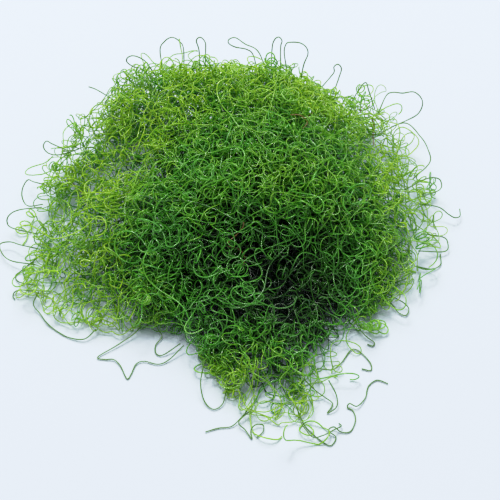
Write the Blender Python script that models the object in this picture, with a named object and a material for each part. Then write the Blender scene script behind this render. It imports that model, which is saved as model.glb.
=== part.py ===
"""A clump of spaghetti algae: one matted tangle of green filaments, with stray filaments around it.

Units are millimetres in the tables and metres in the scene. +Z is up, the clump rests on z = 0,
and +Y points away from the side that the clump is seen from.
"""

import math

import bmesh
import bpy
from mathutils import Vector, noise
from mathutils.bvhtree import BVHTree

MM = 0.001

# The tangle's plan outline, anticlockwise from the right: x, y, and how high its widest line stands.
PLAN_OUTLINE = (
    (61, 14, 5), (58, -4, 4), (52, -15, 3), (43, -22, 3), (36, -30, 3), (30, -41, 2),
    (23, -53, 2), (17, -61, 2), (8, -61, 2), (3, -56, 2), (-4, -46, 2), (-11, -36, 3),
    (-17, -30, 3), (-24, -27, 3), (-32, -29, 3), (-43, -28, 3), (-52, -23, 3), (-59, -13, 4),
    (-61, 1, 6), (-60, 18, 8), (-57, 32, 10), (-48, 46, 13), (-39, 58, 17), (-26, 63, 20),
    (-10, 63, 20), (6, 63, 20), (17, 63, 20), (29, 58, 17), (44, 53, 14), (54, 45, 10),
    (58, 28, 7),
)

# The bulges that add up to the tangle's top, and a dip in its front: x, y, height, spread.
BULGES = (
    (0, 14, 21, 34),
    (12, 5, 16.5, 22),
    (-22, 51, 19.5, 16),
    (12, 51, 18.5, 17),
    (38, 38, 8, 14),
    (-34, 0, 7, 15),
    (42, 8, 7, 15),
    (6, -32, 6, 12),
    (12, -55, 4, 8),
    (17, -18, -6, 9),
)
LEAST_CROWN = 2.5
SHOULDER = 0.55
FLAT_SHARE = 0.3
SUNK_DEPTH = 2.0
LUMP_SIZE, LUMP_HEIGHT = 15.0, 2.6
RIDGE_SIZE, RIDGE_HEIGHT = 5.5, 2.2
EDGE_WAVE = 0.05
SPHERE_SUBDIVISIONS = 6
KEPT_FACES = 0.23
CUTTER_SIDE = 200.0

FILAMENT_DIAMETER = 0.4
CLEARANCE = 0.35
ROUTE_STEP = 0.25
FILAMENT_STEP = 1.9

# Stray filaments, each from where it leaves the tangle: x, y, z of its own line.
# The ones that lie on the surface in front and at the sides.
LYING_FILAMENTS = {
    "trailing_tail": (
        (17, -54, 3), (19, -58, 0.8), (21, -60.5, 0.4), (23.5, -63, 0.4), (26, -64.5, 0.4),
        (27.5, -62, 0.5), (25.5, -60.3, 1.1), (27, -59.2, 1.3), (29, -60.3, 0.5),
        (31.5, -60, 0.4), (33, -56.5, 0.4), (32.5, -53.5, 0.4), (31, -52.4, 0.5),
        (31.6, -51.6, 1.2), (33.6, -52.4, 1.1), (36, -49.3, 0.5), (37, -45.5, 0.4),
        (39, -43.5, 0.4), (40.5, -43.5, 0.4), (42.5, -44.5, 0.4),
    ),
    "tail_spur": (
        (18, -58, 2), (21, -62.5, 1.7), (24, -62, 1.5), (27, -60.6, 2.1), (29, -59, 1.4),
        (28.5, -57.5, 0.4),
    ),
    "front_right_curl": (
        (23, -42, 4), (27.5, -40.5, 1.5), (30, -37.5, 0.6), (33, -33, 0.5), (35.5, -34, 0.5),
        (38, -37.5, 0.4), (38, -40, 0.4), (35.5, -39.5, 0.4),
    ),
    "right_hook": (
        (33, -24, 5), (35.5, -27, 2), (37.5, -29, 1), (39.5, -30.5, 0.5), (39, -31.7, 0.4),
        (37.5, -31, 0.4),
    ),
    "right_low_bow": (
        (42, -15, 5), (46, -16.5, 3), (48.5, -17.5, 2), (50, -19, 1), (49, -21, 0.6),
        (47, -20, 0.6), (45.5, -18.2, 1.5), (43, -15.5, 2.5),
    ),
    "front_spike": (
        (19, -46, 5), (22.5, -48, 2), (25, -49.7, 1.3), (27, -51.5, 0.8), (25.5, -54.2, 0.5),
        (28, -52.7, 1.3), (28, -49.5, 2.2), (26, -45.5, 3.5),
    ),
    "front_left_end": (
        (5, -54, 4), (2, -56.5, 1.5), (-0.5, -58.5, 0.5), (-4, -59, 0.4), (-7.5, -60.2, 0.4),
    ),
    "front_left_arch": (
        (5, -54, 2), (1.5, -57.8, 1.6), (3.2, -59.8, 0.8), (5, -62.4, 0.5), (4.7, -60, 0.7),
        (6, -58.5, 1.3), (8, -58.5, 1.1), (8, -60.2, 0.6), (6.3, -62, 0.4),
    ),
    "front_left_bow": (
        (-8, -40, 5), (-9, -46, 3), (-8, -50.5, 1), (-5.5, -53, 0.5), (-3, -51.5, 0.8),
        (-2, -48, 2), (-1, -44, 4),
    ),
    "hollow_wave": (
        (-26, -23, 5), (-27, -27, 2), (-32.5, -31.5, 0.9), (-38, -35.5, 0.5), (-36, -36.3, 0.4),
        (-33.5, -36.5, 0.6), (-31.5, -38.6, 0.5), (-29.5, -42.8, 0.4), (-28.4, -41.3, 0.4),
        (-27.2, -38, 0.5), (-25, -37, 0.5), (-21, -38, 0.5), (-18, -36.6, 0.8), (-14, -33, 2.5),
    ),
    "hollow_curl": (
        (-23, -24, 5), (-21.5, -27, 2), (-20.3, -28.7, 1), (-22, -31.5, 0.5), (-21.8, -34.2, 0.5),
        (-19.8, -34.9, 0.6), (-15, -32, 2),
    ),
    "left_long_edge": (
        (-56, -15, 4), (-57.5, -18, 2), (-55.5, -20.5, 0.8), (-53, -24, 0.6), (-49.5, -27, 0.4),
        (-46, -29, 0.5), (-42, -29.6, 1), (-39, -27, 2),
    ),
    "left_hook": (
        (-57, -15, 4), (-61.5, -12.5, 1.5), (-63.5, -12.6, 0.8), (-64, -14, 0.5), (-63.3, -15, 0.4),
    ),
    "right_end_hook": ((53, -4, 2), (57.6, -4.2, 1), (60.5, -2.2, 0.6), (60.8, 1.8, 0.4)),
}
# The bows that spring from the tangle's left and right edges, above the surface.
SIDE_FILAMENTS = {
    "left_far_bow": (
        (-57, 0, 5), (-63, 2.5, 4), (-66.5, 4.5, 3), (-69.4, 4, 2.5), (-68.4, 0.7, 2),
        (-65.3, -2, 2), (-58, -5, 4),
    ),
    "left_low_bow": (
        (-58, -4, 5), (-62.5, -5, 1), (-64, -6.5, 0.6), (-62.5, -9, 0.8), (-57, -12, 3),
    ),
    "left_high_bow": (
        (-57, 12, 10), (-64, 12.7, 8), (-67, 12, 6.5), (-67.7, 10.5, 5), (-66, 9, 4), (-58, 5, 6),
    ),
    "left_upper_bow": (
        (-56, 19, 12), (-60, 21.2, 11), (-62, 22, 11), (-63.5, 20, 9.5), (-63.5, 17.5, 8),
        (-61.7, 15.2, 7), (-57, 14, 9),
    ),
    "left_shoulder_bow": (
        (-47, 31, 15), (-53, 31, 12.5), (-56.5, 31.5, 12.7), (-58, 33, 14), (-57, 34, 15.3),
        (-55, 33, 15), (-50, 31, 14),
    ),
    "right_upper_arc": (
        (45, 42, 11), (52.5, 45.5, 11.5), (57, 40.5, 10.5), (59, 37, 9), (59.5, 33, 7), (54, 27, 6),
    ),
    "right_middle_bow": (
        (51, 20, 9), (57, 24, 9), (60, 25.3, 8.5), (62, 24.5, 8), (61.5, 22, 6.5), (54, 19, 6),
    ),
    "right_whisker": (
        (55, 16, 7), (61, 16.5, 5), (64, 15, 3.5), (66, 14.3, 2.7), (67.7, 15.6, 2), (67.8, 18, 2.5),
    ),
    "right_edge_bow": ((55, 6, 5), (61.5, 6, 3.5), (63, 4.5, 2.5), (62, 2, 1.6), (54, 1, 3)),
}
# The bows that stand up from the tangle's back.
BACK_FILAMENTS = {
    "back_left_end": ((-35, 46, 19), (-42, 50.5, 20.5), (-45, 51.5, 21.2)),
    "back_left_bow": (
        (-25, 55, 20), (-29, 58.5, 22), (-31.5, 59.5, 22), (-33.5, 60, 23.5), (-33.3, 60, 25.3),
        (-31.5, 60, 26.2), (-29, 59.5, 25.5), (-27, 58.5, 24), (-24, 55, 21),
    ),
    "back_arch": (
        (-22, 57, 20), (-23.3, 62.5, 26), (-21.8, 63.4, 29), (-19.5, 63.6, 30.5),
        (-17.3, 63, 29.5), (-16, 62, 27), (-16, 57, 20),
    ),
    "back_narrow_bow": (
        (-11, 57, 20), (-11.2, 62, 26), (-12, 63.3, 29.4), (-10.7, 63.7, 30.4), (-9.3, 63, 29),
        (-9.2, 62, 26.4), (-9.5, 57, 20),
    ),
    "back_small_bow": (
        (7, 57, 21), (5.5, 61, 25.5), (3.5, 62.2, 26.8), (0, 62.5, 27.5), (-2, 63, 28.5),
        (-2, 63.6, 29.6), (0, 64, 30), (3, 62.8, 28.5), (7, 60.5, 27.5), (10, 56, 22),
    ),
    "back_tall_bow": (
        (11, 56, 21), (11.3, 61.7, 27.5), (12, 62.4, 30.5), (13.3, 62.6, 31.5), (14.3, 62, 30.5),
        (13.9, 61, 28.3), (14, 56, 21),
    ),
    "back_wide_arc": (
        (16, 57, 22), (15, 59.5, 28), (15.6, 60.5, 30.6), (17, 60.6, 31.2), (19.8, 60.5, 31),
        (21.7, 60.2, 29.5), (22.3, 59.8, 27), (21, 58, 24), (20, 55, 19),
    ),
    "back_right_bow": (
        (25, 52, 18), (29, 55, 21.5), (30.4, 56, 23.2), (30.3, 56.6, 24.7), (31.5, 56.8, 25.6),
        (32.6, 56.4, 24.2), (32, 55, 22.2), (30, 51, 18),
    ),
    "back_right_peak": ((35, 48, 16), (38, 51.5, 20), (40, 52.5, 22), (41, 51, 20), (43, 48, 15)),
    "right_great_bow": (
        (44, 47, 14), (46.5, 51.3, 17.5), (48.5, 51.3, 19), (51.5, 51.3, 18.7), (55, 52, 18.5),
        (57.3, 51, 17), (58, 50.8, 14), (56.8, 50, 11), (53.8, 49.4, 9), (48, 46, 9),
    ),
}

DEEP_GREEN = (0.035, 0.16, 0.02)
FRESH_GREEN = (0.12, 0.32, 0.03)
WET_ROUGHNESS = 0.4


def clear_scene():
    """Removes every object, so that only the clump is left."""
    for obj in list(bpy.data.objects):
        bpy.data.objects.remove(obj)


def new_collection(name):
    """A collection linked to the scene."""
    collection = bpy.data.collections.new(name)
    bpy.context.scene.collection.children.link(collection)
    return collection


def plant_material(name, colour):
    """Wet plant tissue of one colour."""
    material = bpy.data.materials.new(name)
    material.use_nodes = True
    shader = material.node_tree.nodes["Principled BSDF"]
    shader.inputs["Base Color"].default_value = (*colour, 1)
    shader.inputs["Roughness"].default_value = WET_ROUGHNESS
    shader.inputs["Metallic"].default_value = 0
    return material


def catmull_rom(a, b, c, d, t):
    """The point at t, from 0 at b to 1 at c, on the smooth curve through four numbers or vectors."""
    return 0.5 * (2 * b + (c - a) * t + (2 * a - 5 * b + 4 * c - d) * t**2 + (3 * b - a - 3 * c + d) * t**3)


def outline_at(angle):
    """(radius, rim height) of the plan outline in that direction from the origin."""
    corners = sorted((math.atan2(y, x), math.hypot(x, y), rim) for x, y, rim in PLAN_OUTLINE)
    count = len(corners)
    after = next((i for i, corner in enumerate(corners) if corner[0] > angle), count)
    around = [corners[(after + k) % count] for k in (-2, -1, 0, 1)]
    span = (around[2][0] - around[1][0]) % math.tau
    t = ((angle - around[1][0]) % math.tau) / span
    return tuple(catmull_rom(*(corner[k] for corner in around), t) for k in (1, 2))


def crown_at(x, y):
    """The height of the tangle's top over a point, before its relief."""
    return sum(
        height * math.exp(-((x - cx) ** 2 + (y - cy) ** 2) / (2 * spread**2))
        for cx, cy, height, spread in BULGES
    )


def relief_at(x, y):
    """Lumps, and the crooked ridges that packs of filaments make."""
    lumps = noise.noise(Vector((x, y, 7)) / LUMP_SIZE)
    ridges = 1 - 2 * abs(noise.noise(Vector((x, y, 31)) / RIDGE_SIZE)) - 0.5
    return LUMP_HEIGHT * lumps + RIDGE_HEIGHT * ridges


def tangle_point(p):
    """Where a point of the unit sphere lies on the tangle."""
    angle = math.atan2(p.y, p.x)
    radius, rim = outline_at(angle)
    frayed = 1 + EDGE_WAVE * noise.noise(Vector((p.x, p.y, p.z)) * 7)
    reach = math.hypot(p.x, p.y) * radius * frayed
    x, y = reach * math.cos(angle), reach * math.sin(angle)
    if p.z < 0:
        return Vector((x, y, max(rim * (1 + p.z / FLAT_SHARE), -SUNK_DEPTH)))
    rise = p.z**SHOULDER
    crown = max(crown_at(x, y), rim + LEAST_CROWN)
    return Vector((x, y, rim + (crown - rim + relief_at(x, y) * p.z) * rise))


def make_ground_cutter(collection):
    """A block whose top is z = 0. What it cuts away leaves the tangle flat underneath."""
    bpy.ops.mesh.primitive_cube_add(size=CUTTER_SIDE * MM, location=(0, 0, -CUTTER_SIDE * MM / 2))
    block = bpy.context.object
    block.name = "ground_cutter"
    block.hide_render = True
    block.display_type = "WIRE"
    for owner in block.users_collection:
        owner.objects.unlink(block)
    collection.objects.link(block)
    return block


def make_tangle(collection, ground):
    """The matted tangle: a sphere drawn out to the outline, cut flat underneath, with relief on top."""
    shape = bmesh.new()
    bmesh.ops.create_icosphere(shape, subdivisions=SPHERE_SUBDIVISIONS, radius=1)
    for vertex in shape.verts:
        vertex.co = tangle_point(vertex.co) * MM
    mesh = bpy.data.meshes.new("tangle")
    shape.to_mesh(mesh)
    shape.free()
    mesh.shade_smooth()
    mesh.materials.append(plant_material("matted_filaments", DEEP_GREEN))
    tangle = bpy.data.objects.new("tangle", mesh)
    collection.objects.link(tangle)
    thinning = tangle.modifiers.new("fewer_faces", "DECIMATE")
    thinning.ratio = KEPT_FACES
    flattening = tangle.modifiers.new("flat_underneath", "BOOLEAN")
    flattening.operation = "DIFFERENCE"
    flattening.object = ground
    return tangle


def surface_of(obj):
    """A search tree of the object's evaluated surface, in its own units."""
    bpy.context.view_layer.update()
    return BVHTree.FromObject(obj, bpy.context.evaluated_depsgraph_get())


def is_clear(surface, point):
    """Whether a filament centred on the point stays clear of the tangle."""
    _, normal_above, _, _ = surface.ray_cast(point * MM, Vector((0, 0, 1)))
    if normal_above and normal_above.z > 0:
        return False
    _, _, _, distance = surface.find_nearest(point * MM)
    return distance > (FILAMENT_DIAMETER / 2 + CLEARANCE) * MM


def smooth_route(points):
    """Points every ROUTE_STEP or so on the smooth curve through the route's own points."""
    knots = [Vector(p) for p in points]
    knots = [2 * knots[0] - knots[1], *knots, 2 * knots[-1] - knots[-2]]
    route = []
    for a, b, c, d in zip(knots, knots[1:], knots[2:], knots[3:]):
        steps = max(2, round((c - b).length / ROUTE_STEP))
        route += [catmull_rom(a, b, c, d, k / steps) for k in range(steps)]
    route.append(knots[-2])
    lowest = FILAMENT_DIAMETER / 2
    return [Vector((p.x, p.y, max(p.z, lowest))) for p in route]


def longest_run_outside(route, surface):
    """The longest stretch of the route that stays clear of the surface."""
    runs = [[]]
    for point in route:
        if is_clear(surface, point):
            runs[-1].append(point)
        elif runs[-1]:
            runs.append([])
    return max(runs, key=len)


def thin_out(route):
    """Points about FILAMENT_STEP apart, the two ends kept."""
    spacing = max(1, round(FILAMENT_STEP / ROUTE_STEP))
    return [*route[:-1:spacing], route[-1]]


def make_filament(name, points, surface, material, collection):
    """One stray filament: a thin tube along its route, from where it leaves the tangle."""
    route = thin_out(longest_run_outside(smooth_route(points), surface))
    curve = bpy.data.curves.new(name, "CURVE")
    curve.dimensions = "3D"
    curve.bevel_depth = FILAMENT_DIAMETER / 2 * MM
    curve.bevel_resolution = 1
    curve.use_fill_caps = True
    line = curve.splines.new("POLY")
    line.points.add(len(route) - 1)
    for spot, point in zip(line.points, route):
        spot.co = (*(point * MM), 1)
    curve.materials.append(material)
    filament = bpy.data.objects.new(name, curve)
    collection.objects.link(filament)
    return filament


def main():
    """Builds the clump."""
    clear_scene()
    clump = new_collection("spaghetti_algae")
    tangle = make_tangle(clump, make_ground_cutter(new_collection("cutters")))
    surface = surface_of(tangle)
    fresh = plant_material("stray_filament", FRESH_GREEN)
    for group in (LYING_FILAMENTS, SIDE_FILAMENTS, BACK_FILAMENTS):
        for name, points in group.items():
            make_filament(name, points, surface, fresh, clump)


main()
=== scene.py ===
"""A clump of spaghetti algae: thousands of turns of wet green thread, matted and lying on a pale surface.

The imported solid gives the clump's form. Threads are grown inside it as steered random walks, swept into
tubes by Geometry Nodes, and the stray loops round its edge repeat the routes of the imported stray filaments.
"""

import logging
import math
from dataclasses import dataclass, field
from enum import Enum

import bpy
import numpy as np
from mathutils import Matrix, Vector
from mathutils.bvhtree import BVHTree


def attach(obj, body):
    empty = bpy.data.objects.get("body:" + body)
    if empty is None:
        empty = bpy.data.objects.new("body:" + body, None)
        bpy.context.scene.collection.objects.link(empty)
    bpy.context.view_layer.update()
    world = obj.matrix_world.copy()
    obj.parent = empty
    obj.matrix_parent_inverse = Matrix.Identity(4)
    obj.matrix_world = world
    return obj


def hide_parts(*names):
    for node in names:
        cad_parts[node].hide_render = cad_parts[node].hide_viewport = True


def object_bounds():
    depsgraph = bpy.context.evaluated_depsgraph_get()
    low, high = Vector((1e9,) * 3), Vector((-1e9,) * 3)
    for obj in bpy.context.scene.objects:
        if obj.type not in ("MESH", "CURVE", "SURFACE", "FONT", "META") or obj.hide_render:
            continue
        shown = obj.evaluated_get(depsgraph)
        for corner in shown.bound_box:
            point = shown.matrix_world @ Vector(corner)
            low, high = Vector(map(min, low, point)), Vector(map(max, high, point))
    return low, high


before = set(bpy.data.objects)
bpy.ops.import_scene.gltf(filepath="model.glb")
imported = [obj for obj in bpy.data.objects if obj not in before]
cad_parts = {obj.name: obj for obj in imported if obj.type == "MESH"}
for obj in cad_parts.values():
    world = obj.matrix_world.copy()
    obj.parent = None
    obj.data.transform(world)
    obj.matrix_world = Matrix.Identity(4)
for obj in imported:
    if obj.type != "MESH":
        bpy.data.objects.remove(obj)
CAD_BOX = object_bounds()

LOG = logging.getLogger("spaghetti_algae")
MM = 0.001
BODY = "root"
RADIUS_NAME, TINT_NAME, WITHER_NAME = "thread_radius", "tint", "withered"
ALONG_NAME, ROW_NAME, SIDE_NAME = "along_mm", "row", "side"

Route = list[tuple[float, float, float]]

# Stray filaments, each from inside the tangle outwards: x, y, z of its own line, in millimetres.
STRAY_ROUTES: dict[str, Route] = {
    "trailing_tail": [
        (17, -54, 3), (19, -58, 0.8), (21, -60.5, 0.4), (23.5, -63, 0.4), (26, -64.5, 0.4),
        (27.5, -62, 0.5), (25.5, -60.3, 1.1), (27, -59.2, 1.3), (29, -60.3, 0.5),
        (31.5, -60, 0.4), (33, -56.5, 0.4), (32.5, -53.5, 0.4), (31, -52.4, 0.5),
        (31.6, -51.6, 1.2), (33.6, -52.4, 1.1), (36, -49.3, 0.5), (37, -45.5, 0.4),
        (39, -43.5, 0.4), (40.5, -43.5, 0.4), (42.5, -44.5, 0.4),
    ],
    "tail_spur": [
        (18, -58, 2), (21, -62.5, 1.7), (24, -62, 1.5), (27, -60.6, 2.1), (29, -59, 1.4),
        (28.5, -57.5, 0.4),
    ],
    "front_right_curl": [
        (23, -42, 4), (27.5, -40.5, 1.5), (30, -37.5, 0.6), (33, -33, 0.5), (35.5, -34, 0.5),
        (38, -37.5, 0.4), (38, -40, 0.4), (35.5, -39.5, 0.4),
    ],
    "right_hook": [
        (33, -24, 5), (35.5, -27, 2), (37.5, -29, 1), (39.5, -30.5, 0.5), (39, -31.7, 0.4),
        (37.5, -31, 0.4),
    ],
    "right_low_bow": [
        (42, -15, 5), (46, -16.5, 3), (48.5, -17.5, 2), (50, -19, 1), (49, -21, 0.6),
        (47, -20, 0.6), (45.5, -18.2, 1.5), (43, -15.5, 2.5),
    ],
    "front_spike": [
        (19, -46, 5), (22.5, -48, 2), (25, -49.7, 1.3), (27, -51.5, 0.8), (25.5, -54.2, 0.5),
        (28, -52.7, 1.3), (28, -49.5, 2.2), (26, -45.5, 3.5),
    ],
    "front_left_end": [
        (5, -54, 4), (2, -56.5, 1.5), (-0.5, -58.5, 0.5), (-4, -59, 0.4), (-7.5, -60.2, 0.4),
    ],
    "front_left_arch": [
        (5, -54, 2), (1.5, -57.8, 1.6), (3.2, -59.8, 0.8), (5, -62.4, 0.5), (4.7, -60, 0.7),
        (6, -58.5, 1.3), (8, -58.5, 1.1), (8, -60.2, 0.6), (6.3, -62, 0.4),
    ],
    "front_left_bow": [
        (-8, -40, 5), (-9, -46, 3), (-8, -50.5, 1), (-5.5, -53, 0.5), (-3, -51.5, 0.8),
        (-2, -48, 2), (-1, -44, 4),
    ],
    "hollow_wave": [
        (-26, -23, 5), (-27, -27, 2), (-32.5, -31.5, 0.9), (-38, -35.5, 0.5), (-36, -36.3, 0.4),
        (-33.5, -36.5, 0.6), (-31.5, -38.6, 0.5), (-29.5, -42.8, 0.4), (-28.4, -41.3, 0.4),
        (-27.2, -38, 0.5), (-25, -37, 0.5), (-21, -38, 0.5), (-18, -36.6, 0.8), (-14, -33, 2.5),
    ],
    "hollow_curl": [
        (-23, -24, 5), (-21.5, -27, 2), (-20.3, -28.7, 1), (-22, -31.5, 0.5), (-21.8, -34.2, 0.5),
        (-19.8, -34.9, 0.6), (-15, -32, 2),
    ],
    "left_long_edge": [
        (-56, -15, 4), (-57.5, -18, 2), (-55.5, -20.5, 0.8), (-53, -24, 0.6), (-49.5, -27, 0.4),
        (-46, -29, 0.5), (-42, -29.6, 1), (-39, -27, 2),
    ],
    "left_hook": [
        (-57, -15, 4), (-61.5, -12.5, 1.5), (-63.5, -12.6, 0.8), (-64, -14, 0.5), (-63.3, -15, 0.4),
    ],
    "right_end_hook": [(53, -4, 2), (57.6, -4.2, 1), (60.5, -2.2, 0.6), (60.8, 1.8, 0.4)],
    "left_far_bow": [
        (-57, 0, 5), (-63, 2.5, 4), (-66.5, 4.5, 3), (-69.4, 4, 2.5), (-68.4, 0.7, 2),
        (-65.3, -2, 2), (-58, -5, 4),
    ],
    "left_low_bow": [
        (-58, -4, 5), (-62.5, -5, 1), (-64, -6.5, 0.6), (-62.5, -9, 0.8), (-57, -12, 3),
    ],
    "left_high_bow": [
        (-57, 12, 10), (-64, 12.7, 8), (-67, 12, 6.5), (-67.7, 10.5, 5), (-66, 9, 4), (-58, 5, 6),
    ],
    "left_upper_bow": [
        (-56, 19, 12), (-60, 21.2, 11), (-62, 22, 11), (-63.5, 20, 9.5), (-63.5, 17.5, 8),
        (-61.7, 15.2, 7), (-57, 14, 9),
    ],
    "left_shoulder_bow": [
        (-47, 31, 15), (-53, 31, 12.5), (-56.5, 31.5, 12.7), (-58, 33, 14), (-57, 34, 15.3),
        (-55, 33, 15), (-50, 31, 14),
    ],
    "right_upper_arc": [
        (45, 42, 11), (52.5, 45.5, 11.5), (57, 40.5, 10.5), (59, 37, 9), (59.5, 33, 7), (54, 27, 6),
    ],
    "right_middle_bow": [
        (51, 20, 9), (57, 24, 9), (60, 25.3, 8.5), (62, 24.5, 8), (61.5, 22, 6.5), (54, 19, 6),
    ],
    "right_whisker": [
        (55, 16, 7), (61, 16.5, 5), (64, 15, 3.5), (66, 14.3, 2.7), (67.7, 15.6, 2), (67.8, 18, 2.5),
    ],
    "right_edge_bow": [(55, 6, 5), (61.5, 6, 3.5), (63, 4.5, 2.5), (62, 2, 1.6), (54, 1, 3)],
    "back_left_end": [(-35, 46, 19), (-42, 50.5, 20.5), (-45, 51.5, 21.2)],
    "back_left_bow": [
        (-25, 55, 20), (-29, 58.5, 22), (-31.5, 59.5, 22), (-33.5, 60, 23.5), (-33.3, 60, 25.3),
        (-31.5, 60, 26.2), (-29, 59.5, 25.5), (-27, 58.5, 24), (-24, 55, 21),
    ],
    "back_arch": [
        (-22, 57, 20), (-23.3, 62.5, 26), (-21.8, 63.4, 29), (-19.5, 63.6, 30.5),
        (-17.3, 63, 29.5), (-16, 62, 27), (-16, 57, 20),
    ],
    "back_narrow_bow": [
        (-11, 57, 20), (-11.2, 62, 26), (-12, 63.3, 29.4), (-10.7, 63.7, 30.4), (-9.3, 63, 29),
        (-9.2, 62, 26.4), (-9.5, 57, 20),
    ],
    "back_small_bow": [
        (7, 57, 21), (5.5, 61, 25.5), (3.5, 62.2, 26.8), (0, 62.5, 27.5), (-2, 63, 28.5),
        (-2, 63.6, 29.6), (0, 64, 30), (3, 62.8, 28.5), (7, 60.5, 27.5), (10, 56, 22),
    ],
    "back_tall_bow": [
        (11, 56, 21), (11.3, 61.7, 27.5), (12, 62.4, 30.5), (13.3, 62.6, 31.5), (14.3, 62, 30.5),
        (13.9, 61, 28.3), (14, 56, 21),
    ],
    "back_wide_arc": [
        (16, 57, 22), (15, 59.5, 28), (15.6, 60.5, 30.6), (17, 60.6, 31.2), (19.8, 60.5, 31),
        (21.7, 60.2, 29.5), (22.3, 59.8, 27), (21, 58, 24), (20, 55, 19),
    ],
    "back_right_bow": [
        (25, 52, 18), (29, 55, 21.5), (30.4, 56, 23.2), (30.3, 56.6, 24.7), (31.5, 56.8, 25.6),
        (32.6, 56.4, 24.2), (32, 55, 22.2), (30, 51, 18),
    ],
    "back_right_peak": [(35, 48, 16), (38, 51.5, 20), (40, 52.5, 22), (41, 51, 20), (43, 48, 15)],
    "right_great_bow": [
        (44, 47, 14), (46.5, 51.3, 17.5), (48.5, 51.3, 19), (51.5, 51.3, 18.7), (55, 52, 18.5),
        (57.3, 51, 17), (58, 50.8, 14), (56.8, 50, 11), (53.8, 49.4, 9), (48, 46, 9),
    ],
}


class Slot(Enum):
    """The record's material slots."""

    MATTED = "matted_filaments"
    STRAY = "stray_filament"


def linear(hex_colour: str) -> tuple[float, float, float, float]:
    """Turns an sRGB hex colour to linear light.

    Args:
        hex_colour: six hex digits after a hash sign.

    Returns:
        Red, green, blue and an alpha of 1.
    """
    levels = [int(hex_colour[i : i + 2], 16) / 255 for i in (1, 3, 5)]
    return (*(x / 12.92 if x <= 0.04045 else ((x + 0.055) / 1.055) ** 2.4 for x in levels), 1.0)


def add_node(
    tree: bpy.types.NodeTree, kind: str, settings: dict | None = None, **links: object
) -> bpy.types.Node:
    """Adds a node with its settings, input values and links.

    Args:
        tree: the shader or geometry tree.
        kind: the node's type name.
        settings: the node's own properties.
        links: one entry for each input, named as the socket with _ for spaces, or in0, in1 by place.
            A socket is linked, and anything else becomes the input's value.

    Returns:
        The new node.
    """
    node = tree.nodes.new(kind)
    for name, value in (settings or {}).items():
        setattr(node, name, value)
    for name, value in links.items():
        by_place = name[:2] == "in" and name[2:].isdigit()
        socket = node.inputs[int(name[2:]) if by_place else name.replace("_", " ")]
        if isinstance(value, bpy.types.NodeSocket):
            tree.links.new(value, socket)
        else:
            socket.default_value = value
    return node


@dataclass(frozen=True)
class WetThread:
    """Living algae thread: a chain of cells full of green sap, in a thin film of water.

    Light passes into the cells and comes out yellow-green, the film gives a soft sky-coloured gloss, and the
    cross walls between cells show as faint darker rings. The colour also holds painted light: its pale end is
    partly a painted glow of backlit threads at the rim, and its dark end is painted shade deep inside the
    clump.
    """

    name: str
    # The pale end: the thread's own pale green, and partly a painted glow of threads backlit at the rim.
    pale_and_painted_glow: str = "#C6F23C"
    deep: str = "#6ECC44"
    # The dark end: painted shade, for threads deep inside the clump and in the hollow where little light
    # reaches.
    painted_shade_green: str = "#0E3418"
    withered: str = "#A85E38"
    cell_mm: float = 0.9
    patch_mm: float = 14.0
    roughness: float = 0.32
    ior: float = 1.4
    film: float = 1.0
    film_ior: float = 1.8
    film_roughness: float = 0.15
    glow: float = 0.38

    def make(self) -> bpy.types.Material:
        """Builds the material."""
        material = bpy.data.materials.new(self.name)
        material.use_nodes = True
        tree = material.node_tree
        tree.nodes.clear()
        place = add_node(tree, "ShaderNodeTexCoord").outputs["Object"]
        tint = add_node(tree, "ShaderNodeAttribute", {"attribute_name": TINT_NAME}).outputs["Fac"]
        brown = add_node(tree, "ShaderNodeAttribute", {"attribute_name": WITHER_NAME}).outputs["Fac"]
        along = add_node(tree, "ShaderNodeAttribute", {"attribute_name": ALONG_NAME}).outputs["Fac"]
        patches = add_node(
            tree, "ShaderNodeTexNoise", Vector=place, Scale=1 / (self.patch_mm * MM), Detail=2.0
        ).outputs["Fac"]
        # The tint with random patches of tone; the tint carries the painted glow at the rim and the painted
        # shade inside.
        age = add_node(
            tree, "ShaderNodeMath", {"operation": "MULTIPLY_ADD"}, in0=patches, in1=0.4, in2=tint
        )
        scale = add_node(tree, "ShaderNodeMapRange", in0=age.outputs[0], in1=-0.8, in2=1.2)
        ramp = add_node(tree, "ShaderNodeValToRGB", Fac=scale.outputs[0])
        stops = ramp.color_ramp.elements
        # The ramp: painted shade at 0, the thread's own deep green at 0.5, and its pale green with painted
        # glow at 1.
        stops[0].position, stops[0].color = 0.0, linear(self.painted_shade_green)
        stops[1].position, stops[1].color = 1.0, linear(self.pale_and_painted_glow)
        stops.new(0.5).color = linear(self.deep)
        green = ramp.outputs["Color"]
        cells = add_node(
            tree, "ShaderNodeMath", {"operation": "PINGPONG"}, in0=along, in1=self.cell_mm / 2
        ).outputs[0]
        wall = add_node(
            tree, "ShaderNodeMapRange", in0=cells, in1=0.0, in2=self.cell_mm * 0.12, in3=0.78, in4=1.0
        ).outputs[0]
        ringed = add_node(
            tree, "ShaderNodeMix", {"data_type": "RGBA", "blend_type": "MULTIPLY"},
            in0=1.0, in6=green, in7=wall,
        ).outputs[2]
        colour = self.mix(tree, brown, ringed, linear(self.withered))
        shader = add_node(
            tree, "ShaderNodeBsdfPrincipled", Base_Color=colour, Roughness=self.roughness, IOR=self.ior,
            Coat_Weight=self.film, Coat_IOR=self.film_ior, Coat_Roughness=self.film_roughness,
        )
        light_through = add_node(tree, "ShaderNodeBsdfTranslucent", Color=colour)
        both = add_node(
            tree, "ShaderNodeMixShader", in0=self.glow, in1=shader.outputs[0], in2=light_through.outputs[0]
        )
        add_node(tree, "ShaderNodeOutputMaterial", Surface=both.outputs[0])
        return material

    @staticmethod
    def mix(tree: bpy.types.NodeTree, share: object, first: object, second: object) -> bpy.types.NodeSocket:
        """Mixes two colours and returns the colour socket."""
        settings = {"data_type": "RGBA"}
        return add_node(tree, "ShaderNodeMix", settings, in0=share, in6=first, in7=second).outputs[2]


def unit(vectors: np.ndarray) -> np.ndarray:
    """Scales each row to length 1."""
    return vectors / np.maximum(np.linalg.norm(vectors, axis=-1, keepdims=True), 1e-9)


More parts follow.
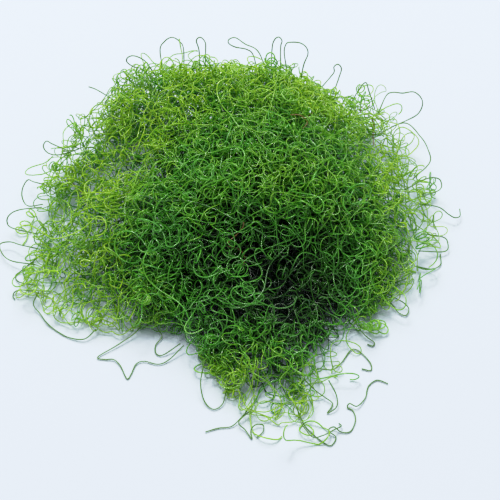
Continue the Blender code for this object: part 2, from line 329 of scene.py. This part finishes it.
@dataclass
class Lattice:
    """Values on a regular grid of points, read between them."""

    low: np.ndarray
    spacing: float
    values: np.ndarray

    def read(self, points: np.ndarray) -> np.ndarray:
        """The value at each place, one place a row, in millimetres."""
        at = np.clip((points - self.low) / self.spacing, 0, np.array(self.values.shape[:3]) - 1.001)
        base = at.astype(int)
        part = at - base
        total = 0.0
        for corner in np.ndindex(2, 2, 2):
            weight = np.prod(np.where(corner, part, 1 - part), axis=1)
            value = self.values[tuple((base + corner).T)]
            total = total + (weight[:, None] * value if value.ndim > 1 else weight * value)
        return total


@dataclass
class ClumpForm:
    """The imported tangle's form: how deep any point lies under its upper surface, and which way is in."""

    spacing: float = 1.25
    margin: float = 5.0
    wall_gap: float = 0.6
    roof_gap: float = 2.0
    low: np.ndarray = field(init=False)
    high: np.ndarray = field(init=False)
    depths: Lattice = field(init=False)
    inwards: Lattice = field(init=False)

    def __post_init__(self) -> None:
        """Measures the form on a lattice."""
        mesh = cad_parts["tangle"].data
        places = np.empty(len(mesh.vertices) * 3)
        mesh.vertices.foreach_get("co", places)
        places = places.reshape(-1, 3) / MM
        mesh.calc_loop_triangles()
        corners = np.empty(len(mesh.loop_triangles) * 3, np.int32)
        mesh.loop_triangles.foreach_get("vertices", corners)
        corners = corners.reshape(-1, 3)
        upper = corners[places[corners][:, :, 2].max(1) > 0.05]
        tree = BVHTree.FromPolygons(places.tolist(), upper.tolist())
        self.low, self.high = places.min(0), places.max(0)
        start = self.low - self.margin
        counts = np.ceil((self.high + self.margin - start) / self.spacing).astype(int) + 1
        axes = [start[i] + self.spacing * np.arange(counts[i]) for i in range(3)]
        grid = np.stack(np.meshgrid(*axes, indexing="ij"), -1)
        points = grid.reshape(-1, 3)
        depths = np.empty(len(points))
        for i, point in enumerate(points.tolist()):
            distance = tree.find_nearest(point)[3]
            normal = tree.ray_cast(point, (0, 0, 1))[1]
            depths[i] = distance if normal is not None and normal.z > 0 else -distance
        walls_low, walls_high = (np.array(v) / MM for v in CAD_BOX)
        walls = np.minimum(points - walls_low, walls_high - points)
        walls[:, 2] = walls_high[2] - points[:, 2] - self.roof_gap
        depths = np.minimum(depths, walls.min(1) - self.wall_gap).reshape(counts)
        self.depths = Lattice(start, self.spacing, depths)
        self.inwards = Lattice(start, self.spacing, np.stack(np.gradient(depths, self.spacing), -1))


@dataclass(frozen=True)
class Spot:
    """A place in the clump where the threads lie closer, looser or browner than elsewhere, or are painted
    darker as painted shade.

    The centre and the reach along X, Y and Z are in millimetres.
    """

    centre: tuple[float, float, float]
    reach: tuple[float, float, float]
    change: float

    def strength(self, points: np.ndarray) -> np.ndarray:
        """How strongly each point feels it: 1 at the centre, fading smoothly with distance."""
        away = (points - self.centre) / np.array(self.reach)
        return np.exp(-(away**2).sum(-1))


@dataclass
class Crowding:
    """How much thread each small block of the clump should hold, and how much it holds so far."""

    form: ClumpForm
    rng: np.random.Generator
    block: float = 2.5
    evenness: float = 0.55
    tuft_mm: float = 8.0
    packing: float = 0.5
    skin: float = 0.35
    skin_mm: float = 4.0
    dense: tuple[Spot, ...] = (
        Spot((6, 14, 26), (24, 20, 30), 0.55),
        Spot((16, -16, 8), (18, 16, 14), 0.6),
        Spot((-26, -10, 10), (15, 15, 20), 0.35),
        Spot((2, -32, 6), (15, 12, 12), 0.35),
        Spot((38, 2, 8), (14, 16, 16), 0.3),
    )
    hollows: tuple[Spot, ...] = (
        Spot((16, -15, 18), (15, 10, 9), 0.96),
        Spot((7, -22, 15), (11, 7, 8), 0.85),
        Spot((-8, -8, 24), (7, 6, 5), 0.7),
        Spot((10, -55, 0), (16, 16, 20), 0.88),
        Spot((-56, -2, 5), (16, 27, 25), 0.78),
        Spot((-38, 42, 15), (24, 18, 25), 0.48),
        Spot((14, 62, 20), (34, 9, 20), 0.42),
        Spot((50, 38, 10), (17, 20, 20), 0.86),
        Spot((58, 8, 5), (15, 25, 15), 0.92),
        Spot((36, -35, 3), (14, 15, 10), 0.86),
        Spot((-34, -28, 0), (24, 7, 9), 0.6),
        Spot((-42, -19, 2), (18, 12, 12), 0.3),
    )
    low: np.ndarray = field(init=False)
    centres: np.ndarray = field(init=False)
    depths: np.ndarray = field(init=False)
    plan: np.ndarray = field(init=False)
    even_plan: np.ndarray = field(init=False)
    held: np.ndarray = field(init=False)

    def __post_init__(self) -> None:
        """Plans the whole clump."""
        self.low = self.form.low - self.block
        self.low[2] = 0.0
        counts = np.ceil((self.form.high + self.block - self.low) / self.block).astype(int)
        steps = np.stack(np.meshgrid(*(np.arange(n) for n in counts), indexing="ij"), -1)
        self.centres = self.low + (steps + 0.5) * self.block
        points = self.centres.reshape(-1, 3)
        self.depths = self.form.depths.read(points).reshape(counts)
        tufts = Lattice(self.low, self.tuft_mm, self.rng.uniform(0, 1, (24, 24, 10)))
        plan = self.packing * (self.evenness + (1 - self.evenness) * 2 * tufts.read(points))
        for spot in self.dense:
            plan += spot.change * spot.strength(points)
        for spot in self.hollows:
            plan *= 1 - spot.change * spot.strength(points)
        thick = np.clip((points[:, 2] - 4) / 12, 0, 1)
        plan *= 1 - (1 - self.skin) * thick * (1 - np.clip(self.depths.ravel() / self.skin_mm, 0, 1))
        self.plan = plan.reshape(counts) * self.block**3
        self.even_plan = np.full(counts, self.packing * self.block**3)
        self.held = np.zeros(counts)

    def blocks(self, points: np.ndarray) -> tuple[np.ndarray, ...]:
        """The block that each point is in."""
        at = ((points - self.low) / self.block).astype(int)
        return tuple(np.clip(at, 0, np.array(self.held.shape) - 1).T)

    def lack(self, habit: "Habit", share: float) -> np.ndarray:
        """What each block at a habit's depths still lacks of a share of its plan."""
        chosen = (self.depths > habit.nearest) & (self.depths <= habit.deepest)
        plan = self.even_plan if habit.everywhere else self.plan
        lack = np.clip(plan * share * chosen - self.held, 0, None)
        if habit.near:
            lack = lack * sum(spot.strength(self.centres) for spot in habit.near)
        return lack

    def starts(self, lack: np.ndarray, count: int) -> np.ndarray:
        """Random places in the blocks that lack thread."""
        chance = lack.ravel() / lack.sum()
        picked = self.rng.choice(chance.size, count, p=chance)
        jitter = self.rng.uniform(-0.5, 0.5, (count, 3)) * self.block
        return self.centres.reshape(-1, 3)[picked] + jitter

    @staticmethod
    def slope(lack: np.ndarray) -> np.ndarray:
        """The direction towards the blocks that lack thread, at each block."""
        soft = lack
        for axis in range(3):
            soft = (np.roll(soft, 1, axis) + 2 * soft + np.roll(soft, -1, axis)) / 4
        steep = np.stack(np.gradient(soft), -1)
        return steep / max(float(np.percentile(np.linalg.norm(steep, axis=-1), 98)), 1e-9)


@dataclass(frozen=True)
class Habit:
    """How one kind of thread runs: its bends, its twist, its kinks and how it is held in the clump."""

    name: str
    fill: float
    length_mm: float
    bend_radius: float
    bend_spread: float
    nearest: float
    deepest: float
    batches: int = 8
    radius_mm: float = 0.19
    memory_mm: float = 6.0
    twist: float = 0.22
    kink_every: float = 45.0
    turn_back: float = 0.5
    shyness: float = 1.2
    crowd_pull: float = 0.12
    flatness: float = 0.06
    tint: float = 0.4
    withered: float = 0.0
    everywhere: bool = False
    most_turn: float = math.radians(18)
    longest: float = 3.0
    near: tuple[Spot, ...] = ()


@dataclass
class Threads:
    """Grown threads: one line of points each, with its radius, its tints and how withered it is."""

    lines: list[np.ndarray] = field(default_factory=list)
    radii: list[float] = field(default_factory=list)
    tints: list[np.ndarray] = field(default_factory=list)
    withered: list[float] = field(default_factory=list)

    def extend(self, other: "Threads") -> None:
        """Adds another batch."""
        self.lines += other.lines
        self.radii += other.radii
        self.tints += other.tints
        self.withered += other.withered

    def picked(self, chosen: np.ndarray) -> "Threads":
        """Only the chosen threads."""
        kinds = (self.lines, self.radii, self.tints, self.withered)
        return Threads(*([values[i] for i in chosen] for values in kinds))


@dataclass
class Grower:
    """Grows threads as random walks that bend smoothly, seek room and turn back where they leave the form."""

    form: ClumpForm
    crowding: Crowding
    rng: np.random.Generator
    step: float = 0.25
    lowest: float = 0.3

    def grow(self, habit: Habit) -> Threads:
        """Grows all threads of one habit, batch by batch, so that later ones fill what is still empty."""
        held = self.crowding.held.copy()
        self.crowding.held[:] = 0
        planned = self.crowding.lack(habit, habit.fill).sum()
        count = max(1, round(planned / habit.length_mm / habit.batches))
        LOG.info("%s: %.0f m planned", habit.name, planned * MM)
        grown = Threads()
        for batch in range(habit.batches):
            lack = self.crowding.lack(habit, habit.fill * (batch + 1.5) / habit.batches)
            grown.extend(self.walk(habit, self.crowding.starts(lack, count), self.crowding.slope(lack)))
        self.crowding.held += held
        return grown

    def age(self, points: np.ndarray) -> np.ndarray:
        """What the place adds to a thread's tint, all of it painted light: a pale painted glow at the rim,
        where threads are backlit, and painted shade in the shaded spots and deep inside.
        """
        deep = np.clip((self.form.depths.read(points) - 2) / 6, 0, 1)
        return PAINTED_GLOW_AT_RIM * rim_share(points) - painted_shade_share(points) - PAINTED_SHADE_INSIDE * deep

    def walk(self, habit: Habit, place: np.ndarray, slope: np.ndarray) -> Threads:
        """Walks one batch of threads.

        Args:
            habit: how they run.
            place: where they start, in millimetres.
            slope: the direction towards room, at each block.

        Returns:
            The threads.
        """
        count = len(place)
        place = place.copy()
        place[:, 2] = np.maximum(place[:, 2], self.lowest)
        ahead = unit(self.rng.normal(size=(count, 3)) * (1, 1, 0.6))
        aside = unit(np.cross(ahead, self.rng.normal(size=(count, 3))))
        bend, twist = self.rng.normal(size=(2, count))
        nearest = habit.nearest + self.rng.exponential(habit.shyness, count)
        radius = habit.bend_radius * np.exp(self.rng.normal(0, 0.35, count))
        kink_left = np.zeros(count)
        fade = self.step / habit.memory_mm
        jump = math.sqrt(2 * fade)
        track = []
        for _ in range(int(habit.length_mm / self.step)):
            track.append(place.copy())
            bend += -bend * fade + jump * self.rng.normal(size=count)
            twist += -twist * fade + jump * self.rng.normal(size=count)
            curvature = np.minimum(np.exp(habit.bend_spread * bend) / radius, 0.75)
            starts_kink = self.rng.random(count) < self.step / habit.kink_every
            kink_left = np.where(starts_kink, self.rng.uniform(0.5, 1.1, count), kink_left - self.step)
            curvature = np.where(kink_left > 0, 1.7, curvature)
            depth = self.form.depths.read(place)
            inward = unit(self.form.inwards.read(place))
            back = habit.turn_back * np.clip((nearest + 2.2 - depth) / 2.2, 0, 1.5)
            up = 0.5 * np.clip(1 - (place[:, 2] - self.lowest) / 1.2, 0, 1)
            deeper = 0.15 * np.clip((depth - habit.deepest) / 3, 0, 1)
            pull = (back - deeper)[:, None] * inward + habit.crowd_pull * slope[self.crowding.blocks(place)]
            pull[:, 2] += up
            turn = curvature[:, None] * aside + pull - (pull * ahead).sum(1, keepdims=True) * ahead
            turn -= habit.flatness * (inward * ahead).sum(1, keepdims=True) * inward
            ahead = unit(ahead + self.step * turn)
            place = place + self.step * ahead
            low = place[:, 2] < self.lowest
            place[low, 2] = self.lowest
            ahead[low, 2] = np.maximum(ahead[low, 2], 0)
            ahead = unit(ahead)
            aside = unit(aside - (aside * ahead).sum(1, keepdims=True) * ahead)
            angle = (habit.twist * twist * self.step)[:, None]
            aside = aside * np.cos(angle) + np.cross(ahead, aside) * np.sin(angle)
        track = np.stack(track, 1)
        np.add.at(self.crowding.held, self.crowding.blocks(track.reshape(-1, 3)), self.step)
        lines = [self.thin_out(line, habit) for line in track]
        radii = list(habit.radius_mm * self.rng.uniform(0.82, 1.18, count))
        vary = self.rng.normal(0, 1, count)
        # Each thread's tint: its habit's tone, a random tone of its own that varies more at the rim, and the
        # painted glow and painted shade of its place.
        tints = [
            habit.tint + own * (0.12 + 0.14 * rim_share(line)) + self.age(line)
            for own, line in zip(vary, lines)
        ]
        return Threads(lines, radii, tints, [habit.withered] * count)

    @staticmethod
    def thin_out(line: np.ndarray, habit: Habit) -> np.ndarray:
        """Keeps the points of a line that its bends need, and its two ends."""
        runs = np.diff(line, axis=0)
        lengths = np.linalg.norm(runs, axis=1)
        runs = runs / np.maximum(lengths, 1e-9)[:, None]
        turns = np.arccos(np.clip((runs[1:] * runs[:-1]).sum(1), -1, 1))
        need = np.cumsum(np.maximum(turns / habit.most_turn, lengths[1:] / habit.longest))
        kept = np.flatnonzero(np.diff(np.floor(need), prepend=0) > 0) + 1
        return line[np.unique(np.concatenate([[0], kept, [len(line) - 1]]))]


@dataclass
class TubeSweep:
    """The Geometry Nodes tree that sweeps a round tube along each line of points."""

    name: str
    tree: bpy.types.NodeTree = field(init=False)

    def __post_init__(self) -> None:
        """Builds the tree."""
        tree = bpy.data.node_groups.new(self.name, "GeometryNodeTree")
        tree.is_modifier = True
        face = tree.interface
        face.new_socket("Lines", in_out="INPUT", socket_type="NodeSocketGeometry")
        sides = face.new_socket("Sides", in_out="INPUT", socket_type="NodeSocketInt")
        finish = face.new_socket("Finish", in_out="INPUT", socket_type="NodeSocketMaterial")
        face.new_socket("Tubes", in_out="OUTPUT", socket_type="NodeSocketGeometry")
        self.sides_id, self.finish_id = sides.identifier, finish.identifier
        given = tree.nodes.new("NodeGroupInput").outputs
        curves = add_node(tree, "GeometryNodeMeshToCurve", Mesh=given["Lines"]).outputs["Curve"]
        radius = add_node(tree, "GeometryNodeInputNamedAttribute", {"data_type": "FLOAT"}, Name=RADIUS_NAME)
        ring = add_node(tree, "GeometryNodeCurvePrimitiveCircle", Resolution=given["Sides"], Radius=1.0)
        index = add_node(tree, "GeometryNodeInputIndex").outputs["Index"]
        ring = add_node(
            tree, "GeometryNodeStoreNamedAttribute", {"data_type": "INT", "domain": "POINT"},
            Geometry=ring.outputs["Curve"], Name=SIDE_NAME, Value=index,
        ).outputs["Geometry"]
        tubes = add_node(
            tree, "GeometryNodeCurveToMesh", Curve=curves, Profile_Curve=ring,
            Scale=radius.outputs["Attribute"], Fill_Caps=True,
        ).outputs["Mesh"]
        tubes = add_node(tree, "GeometryNodeSetShadeSmooth", Geometry=tubes, Shade_Smooth=True).outputs[0]
        tubes = add_node(tree, "GeometryNodeRealizeInstances", Geometry=tubes).outputs[0]
        tubes = add_node(tree, "GeometryNodeSetMaterial", Geometry=tubes, Material=given["Finish"]).outputs[0]
        add_node(tree, "NodeGroupOutput", Tubes=tubes)
        self.tree = tree

    def sweep(self, name: str, threads: Threads, sides: int, finish: bpy.types.Material) -> bpy.types.Object:
        """Makes one piece of plain mesh from a batch of threads.

        Args:
            name: the piece's name.
            threads: the lines to sweep.
            sides: how many sides each tube has.
            finish: its material.

        Returns:
            The piece, at the origin and linked to the scene.
        """
        lines = bpy.data.objects.new(name + "_lines", self.line_mesh(name, threads))
        bpy.context.scene.collection.objects.link(lines)
        modifier = lines.modifiers.new("tubes", "NODES")
        modifier.node_group = self.tree
        modifier[self.sides_id] = sides
        modifier[self.finish_id] = finish
        bpy.context.view_layer.update()
        evaluated = lines.evaluated_get(bpy.context.evaluated_depsgraph_get())
        mesh = bpy.data.meshes.new_from_object(evaluated)
        mesh.name = name
        bpy.data.objects.remove(lines)
        self.add_map(mesh, sides, len(threads.lines))
        piece = bpy.data.objects.new(name, mesh)
        bpy.context.scene.collection.objects.link(piece)
        return piece

    @staticmethod
    def line_mesh(name: str, threads: Threads) -> bpy.types.Mesh:
        """A mesh of points and edges, with each thread's values on its points."""
        counts = np.array([len(line) for line in threads.lines])
        points = np.concatenate(threads.lines)
        ends = np.cumsum(counts) - 1
        first = np.delete(np.arange(len(points) - 1), ends[:-1])
        mesh = bpy.data.meshes.new(name + "_lines")
        mesh.vertices.add(len(points))
        mesh.vertices.foreach_set("co", (points * MM).ravel())
        mesh.edges.add(len(first))
        mesh.edges.foreach_set("vertices", np.stack([first, first + 1], 1).ravel())
        along = np.concatenate([
            np.concatenate([[0], np.cumsum(np.linalg.norm(np.diff(line, axis=0), axis=1))])
            for line in threads.lines
        ])
        row = np.repeat(np.arange(len(counts)), counts).astype(float)
        swelling = 1 + 0.13 * np.sin(along * 0.9 + row * 2.4) * np.sin(along * 0.37 + row)
        values = {
            RADIUS_NAME: np.repeat(threads.radii, counts) * swelling * MM,
            TINT_NAME: np.concatenate(threads.tints),
            WITHER_NAME: np.repeat(threads.withered, counts),
            ALONG_NAME: along,
            ROW_NAME: row,
        }
        for key, value in values.items():
            mesh.attributes.new(key, "FLOAT", "POINT").data.foreach_set("value", value)
        mesh.update()
        return mesh

    @staticmethod
    def add_map(mesh: bpy.types.Mesh, sides: int, rows: int) -> None:
        """Gives the tubes a map in which each thread is one straight strip."""

        def on_corners(name: str) -> np.ndarray:
            """A point attribute's value at each face corner."""
            data = mesh.attributes[name].data
            values = np.empty(len(data), np.float32 if name != SIDE_NAME else np.int32)
            data.foreach_get("value", values)
            return values[corner]

        corner = np.empty(len(mesh.loops), np.int32)
        mesh.loops.foreach_get("vertex_index", corner)
        totals = np.empty(len(mesh.polygons), np.int32)
        mesh.polygons.foreach_get("loop_total", totals)
        starts = np.concatenate([[0], np.cumsum(totals)[:-1]])
        along, row, side = on_corners(ALONG_NAME), on_corners(ROW_NAME), on_corners(SIDE_NAME)
        widest = np.repeat(np.maximum.reduceat(side, starts) - np.minimum.reduceat(side, starts), totals)
        quad = np.repeat(totals == 4, totals)
        across = np.where((widest == sides - 1) & (side == 0) & quad, sides, side) / sides
        places = np.stack([0.002 + 0.996 * along / along.max(), (row + 0.06 + 0.88 * across) / rows], 1)
        layer = mesh.uv_layers.new(name="OFBake")
        layer.uv.foreach_set("vector", places.astype(np.float32).ravel())
        for name in (RADIUS_NAME, ROW_NAME, SIDE_NAME):
            mesh.attributes.remove(mesh.attributes[name])


# Painted glow: how much paler the threads are painted towards the rim, where they are backlit.
PAINTED_GLOW_AT_RIM = 0.6
# Painted shade: how much darker the threads are painted deep inside the clump.
PAINTED_SHADE_INSIDE = 1.0
MIDDLE = np.array([8.0, -4.0])
MIDDLE_REACH = np.array([57.0, 60.0])


def rim_share(points: np.ndarray) -> np.ndarray:
    """How near each point is to the clump's rim: 0 in the middle and 1 at the rim."""
    out = np.linalg.norm((points[:, :2] - MIDDLE) / MIDDLE_REACH, axis=1)
    rise = np.clip((out - 0.45) / 0.42, 0, 1)
    return rise * rise * (3 - 2 * rise)


# Painted shade: places where the threads are painted darker, the hollow, the front slope and the left middle.
PAINTED_SHADE_SPOTS = (
    Spot((17, -18, 12), (17, 12, 14), 0.95),
    Spot((-8, -12, 20), (14, 9, 9), 0.2),
    Spot((6, -31, 8), (24, 11, 10), 0.55),
    Spot((-24, -6, 14), (20, 20, 20), 0.3),
)


def painted_shade_share(points: np.ndarray) -> np.ndarray:
    """How much painted shade darkens the thread at each point, in the hollow and the other places that get
    little light.
    """
    return sum(spot.change * spot.strength(points) for spot in PAINTED_SHADE_SPOTS)


def smooth_route(points: Route, step: float = 0.3) -> np.ndarray:
    """Points along the smooth curve through a route's own points.

    Args:
        points: the route, in millimetres.
        step: how far apart the points lie.

    Returns:
        The points, one a row.
    """
    knots = np.array(points, float)
    knots = np.vstack([2 * knots[0] - knots[1], knots, 2 * knots[-1] - knots[-2]])
    pieces = []
    for a, b, c, d in zip(knots, knots[1:], knots[2:], knots[3:]):
        t = np.arange(0, 1, step / max(np.linalg.norm(c - b), step))[:, None]
        pieces.append(
            0.5 * (2 * b + (c - a) * t + (2 * a - 5 * b + 4 * c - d) * t**2 + (3 * b - a - 3 * c + d) * t**3)
        )
    line = np.vstack([*pieces, knots[-2:-1]])
    line[:, 2] = np.maximum(line[:, 2], 0.2)
    return line


MIDST = (Spot((4, 2, 12), (34, 32, 40), 1.0), Spot((38, 2, 8), (16, 16, 16), 0.7))
CROWN = (
    Spot((8, 8, 30), (26, 22, 20), 1.0),
    Spot((20, -18, 15), (22, 16, 14), 1.0),
    Spot((-25, -8, 15), (18, 16, 12), 0.7),
)
INNER = Habit(
    "inner_threads", 0.9, 70, 5.5, 0.5, 3.8, 99, radius_mm=0.23, tint=0.2, most_turn=math.radians(40),
    longest=4.0, kink_every=200.0, near=MIDST,
)
OUTER = Habit(
    "outer_threads", 2.6, 110, 3.1, 0.5, 0.0, 5.5, radius_mm=0.17, tint=0.3, memory_mm=8.0, twist=0.2,
    kink_every=80.0, turn_back=0.42,
)
ARCHING = Habit(
    "arching_threads", 0.3, 60, 6.5, 0.4, -0.4, 1.3, radius_mm=0.215, flatness=0.3, tint=0.05, memory_mm=12.0,
    twist=0.12, crowd_pull=0.0, turn_back=0.4, kink_every=200.0, everywhere=True, near=CROWN,
)
FRINGE = Habit(
    "fringe_threads", 0.1, 45, 2.5, 0.3, -3.0, 0.5, radius_mm=0.18, flatness=0.0, tint=0.1, memory_mm=14.0,
    twist=0.1, kink_every=300.0, crowd_pull=0.0, turn_back=0.35, batches=2, everywhere=True,
)
BROWN_PLACES = (
    Spot((-52, 18, 10), (3, 3, 4), 1.0), Spot((41, 41, 15), (4, 4, 4), 1.0),
    Spot((21, 26, 32), (3, 3, 4), 1.0), Spot((0, -14, 22), (3, 3, 4), 1.0),
)
WITHERED = Habit(
    "withered_threads", 0.3, 9, 5.0, 0.4, -0.5, 3.0, radius_mm=0.15, flatness=0.2, tint=0.0, withered=0.8,
    crowd_pull=0.0, batches=1, everywhere=True, near=BROWN_PLACES,
)


@dataclass
class MattedThreads:
    """The tangle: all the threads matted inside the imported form, in a few pieces by side."""

    form: ClumpForm
    sweep: TubeSweep
    seed: int = 20
    areas: tuple[str, ...] = ("right", "back_right", "back_left", "left", "front_left", "front_right")

    def build(self) -> list[bpy.types.Object]:
        """Grows the threads, shares them among the areas and makes each area's piece."""
        rng = np.random.default_rng(self.seed)
        grower = Grower(self.form, Crowding(self.form, rng), rng)
        finish = WetThread("wet_algae_thread").make()
        inner, outer, arching, fringe, withered = (
            grower.grow(habit) for habit in (INNER, OUTER, ARCHING, FRINGE, WITHERED)
        )
        centres = np.array([line.mean(0) for line in outer.lines])
        order = np.argsort(np.arctan2(centres[:, 1] - 5, centres[:, 0]) % math.tau)
        made = [
            self.sweep.sweep(INNER.name, inner, 3, finish),
            self.sweep.sweep(ARCHING.name, arching, 5, finish),
            self.sweep.sweep(FRINGE.name, fringe, 5, finish),
            self.sweep.sweep(WITHERED.name, withered, 5, finish),
        ]
        for name, share in zip(self.areas, np.array_split(order, len(self.areas))):
            made.append(self.sweep.sweep(f"{OUTER.name}_{name}", outer.picked(share), 3, finish))
        for piece in made:
            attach(piece, BODY)
            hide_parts("tangle")
        return made


@dataclass
class StrayThreads:
    """The single loops and ends that stand clear of the tangle."""

    sweep: TubeSweep
    sides: int = 6
    radius_mm: float = 0.17
    tint: float = 0.3

    def build(self) -> list[bpy.types.Object]:
        """Makes one piece for each stray filament."""
        finish = WetThread("wet_stray_thread", pale_and_painted_glow="#9CC43A", deep="#5C9A34", film_ior=1.45).make()
        made = []
        for name, route in STRAY_ROUTES.items():
            line = smooth_route(route)
            thread = Threads([line], [self.radius_mm], [np.full(len(line), self.tint)], [0.0])
            piece = self.sweep.sweep(name + "_thread", thread, self.sides, finish)
            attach(piece, BODY)
            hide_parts(name)
            made.append(piece)
        return made


@dataclass
class Studio:
    """The pale surface, the soft light and the camera."""

    target_mm: tuple[float, float, float] = (4.5, -4.5, 10.0)
    elevation: float = math.radians(50)
    distance: float = 0.42
    lens: float = 105.0

    def build(self) -> None:
        """Makes the floor, the world, the lamps and the camera."""
        self.floor()
        self.world()
        self.lamp("top_softbox", (0.0, 0.85, 1.7), 1.6, 34.0)
        self.lamp("top_lamp", (-0.25, 0.5, 1.6), 0.3, 9.5)
        self.camera()
        self.tone()

    def floor(self) -> None:
        """A plain pale surface under the clump."""
        bpy.ops.mesh.primitive_plane_add(size=4.0)
        plane = bpy.context.object
        plane.name = "floor"
        material = bpy.data.materials.new("pale_table")
        material.use_nodes = True
        shader = material.node_tree.nodes["Principled BSDF"]
        shader.inputs["Base Color"].default_value = linear("#DFEBFA")
        shader.inputs["Roughness"].default_value = 0.8
        plane.data.materials.append(material)

    @staticmethod
    def world() -> None:
        """Even pale light from all round."""
        world = bpy.data.worlds.new("pale_room")
        bpy.context.scene.world = world
        world.use_nodes = True
        background = world.node_tree.nodes["Background"]
        background.inputs["Color"].default_value = linear("#EFF4F8")
        background.inputs["Strength"].default_value = 0.4

    def lamp(self, name: str, place: tuple[float, float, float], size: float, power: float) -> None:
        """A square softbox that faces the clump.

        Args:
            name: its name.
            place: where it hangs, in metres.
            size: its side, in metres.
            power: its power, in watts.
        """
        light = bpy.data.lights.new(name, "AREA")
        light.shape = "SQUARE"
        light.size = size
        light.energy = power
        lamp = bpy.data.objects.new(name, light)
        lamp.location = place
        lamp.rotation_euler = (-Vector(place)).to_track_quat("-Z", "Y").to_euler()
        bpy.context.scene.collection.objects.link(lamp)

    @staticmethod
    def tone() -> None:
        """A camera's soft shoulder: it keeps the pale surface just under white and the clump bright."""
        view = bpy.context.scene.view_settings
        view.view_transform = "Standard"
        view.use_curve_mapping = True
        mapping = view.curve_mapping
        mapping.white_level = (1.5, 1.5, 1.5)
        curve = mapping.curves[3]
        for place in ((0.03, 0.036), (0.27, 0.385), (0.47, 0.66), (0.813, 0.905)):
            curve.points.new(*place)
        mapping.update()

    def camera(self) -> None:
        """The photograph's view: from in front, looking down."""
        data = bpy.data.cameras.new("camera")
        data.lens = self.lens
        data.sensor_width = 36.0
        data.clip_start, data.clip_end = 0.01, 10.0
        camera = bpy.data.objects.new("camera", data)
        back = Vector((0, -math.cos(self.elevation), math.sin(self.elevation)))
        camera.location = Vector(self.target_mm) * MM + back * self.distance
        camera.rotation_euler = (math.pi / 2 - self.elevation, 0, 0)
        bpy.context.scene.collection.objects.link(camera)
        bpy.context.scene.camera = camera


def triangles(piece: bpy.types.Object) -> int:
    """How many triangles a piece has."""
    piece.data.calc_loop_triangles()
    return len(piece.data.loop_triangles)


def main() -> None:
    """Builds the clump and its stage, and reports each piece."""
    logging.basicConfig(level=logging.INFO, format="%(name)s: %(message)s")
    Studio().build()
    form = ClumpForm()
    sweep = TubeSweep("thread_tubes")
    pieces = StrayThreads(sweep).build() + MattedThreads(form, sweep).build()
    for piece in pieces:
        LOG.info("%s: %d triangles", piece.name, triangles(piece))
    LOG.info("all pieces: %d triangles", sum(map(triangles, pieces)))


if __name__ == "__main__":
    main()
